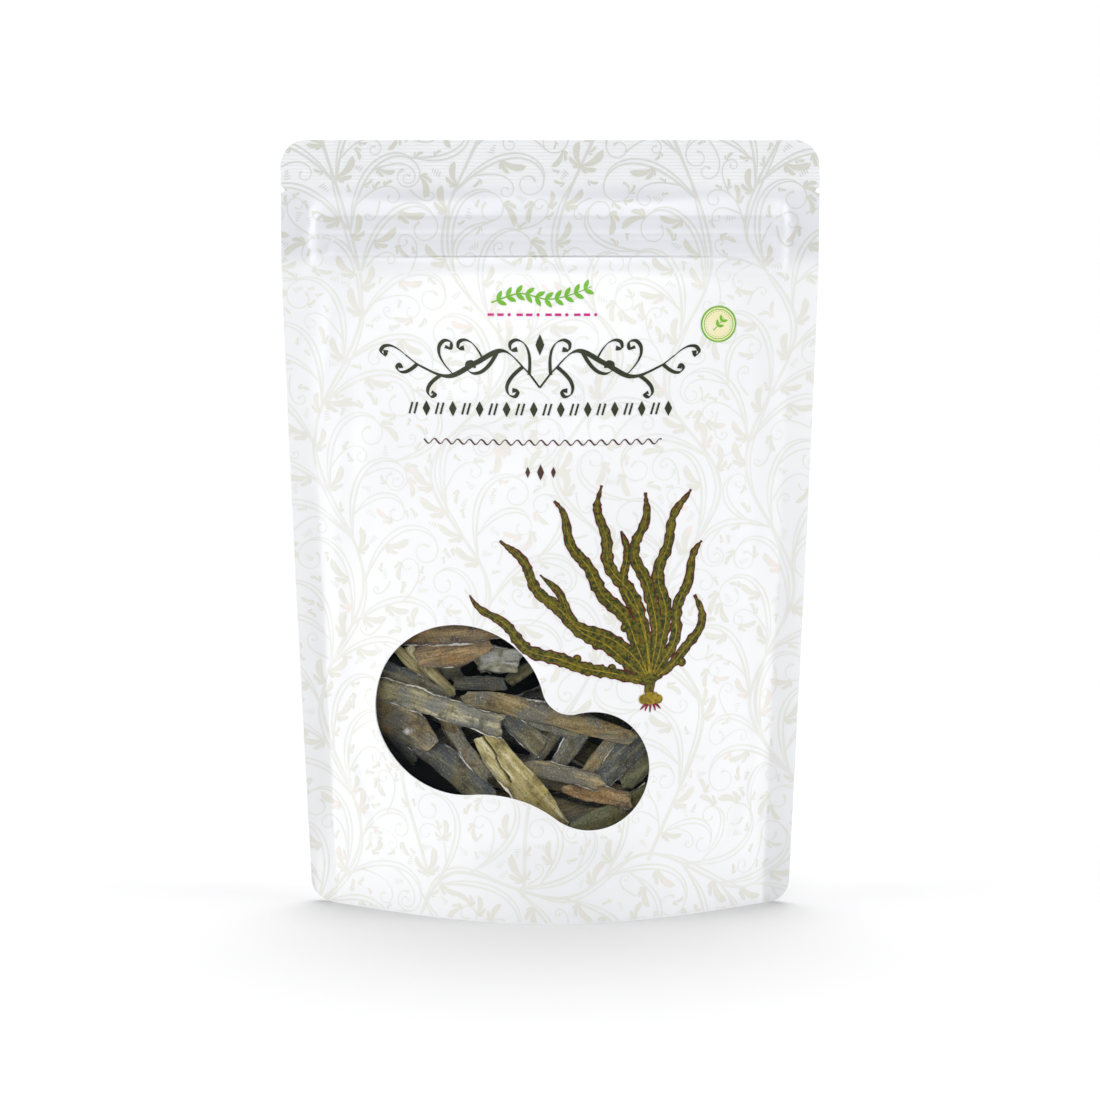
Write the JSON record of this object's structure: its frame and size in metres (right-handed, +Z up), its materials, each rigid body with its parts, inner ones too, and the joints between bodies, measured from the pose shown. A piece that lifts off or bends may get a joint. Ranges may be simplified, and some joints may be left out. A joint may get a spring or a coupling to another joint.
{
  "type": "stand-up pouch of dried sea spaghetti seaweed",
  "caption": "White stand-up pouch with a press-to-close strip and a two-lobed clear window, filled with loose dried brown seaweed straps.",
  "frame": {"origin": "on the surface that the pouch stands on, below its middle", "axes": "+Z up along the pouch's height, the window faces -Y, +X to the right seen from the front"},
  "size_m": [0.16, 0.0574, 0.232],
  "materials": {
    "printed_film": "satin white laminate with a faint printed vine",
    "clear_film": "clear glossy film",
    "zip_plastic": "translucent white polyethylene",
    "dried_brown": "dried seaweed, brown, wrinkled and matt",
    "dried_olive": "dried seaweed, yellow-olive, wrinkled and matt",
    "dried_dark": "dried seaweed, dark grey-green, wrinkled and matt",
    "dried_pale": "dried seaweed, pale with salt"
  },
  "bodies": {
    "root": {"back_panel": "printed_film", "base_gusset": "printed_film", "front_panel": "printed_film", "strap_01": "dried_brown", "strap_02": "dried_olive", "strap_03": "dried_brown", "strap_04": "dried_brown", "strap_05": "dried_brown", "strap_06": "dried_dark", "strap_07": "dried_brown", "strap_08": "dried_brown", "strap_09": "dried_brown", "strap_10": "dried_brown", "strap_11": "dried_olive", "strap_12": "dried_olive", "strap_13": "dried_dark", "strap_14": "dried_dark", "strap_15": "dried_pale", "strap_16": "dried_olive", "strap_17": "dried_olive", "strap_18": "dried_brown", "strap_19": "dried_dark", "strap_20": "dried_dark", "strap_21": "dried_brown", "strap_22": "dried_brown", "strap_23": "dried_dark", "strap_24": "dried_olive", "strap_25": "dried_dark", "strap_26": "dried_olive", "strap_27": "dried_olive", "strap_28": "dried_dark", "strap_29": "dried_dark", "strap_30": "dried_dark", "strap_31": "dried_olive", "strap_32": "dried_brown", "strap_33": "dried_brown", "strap_34": "dried_dark", "strap_35": "dried_dark", "strap_36": "dried_dark", "strap_37": "dried_olive", "strap_38": "dried_brown", "strap_39": "dried_dark", "strap_40": "dried_brown", "strap_41": "dried_brown", "strap_42": "dried_dark", "strap_43": "dried_olive", "strap_44": "dried_dark", "strap_45": "dried_brown", "strap_46": "dried_dark", "strap_47": "dried_dark", "strap_48": "dried_olive", "strap_49": "dried_dark", "strap_50": "dried_dark", "strap_51": "dried_dark", "strap_52": "dried_olive", "strap_53": "dried_olive", "strap_54": "dried_olive", "window_film": "clear_film", "zip_groove_strip": "zip_plastic", "zip_hook_strip": "zip_plastic"}
  },
  "joints": []
}
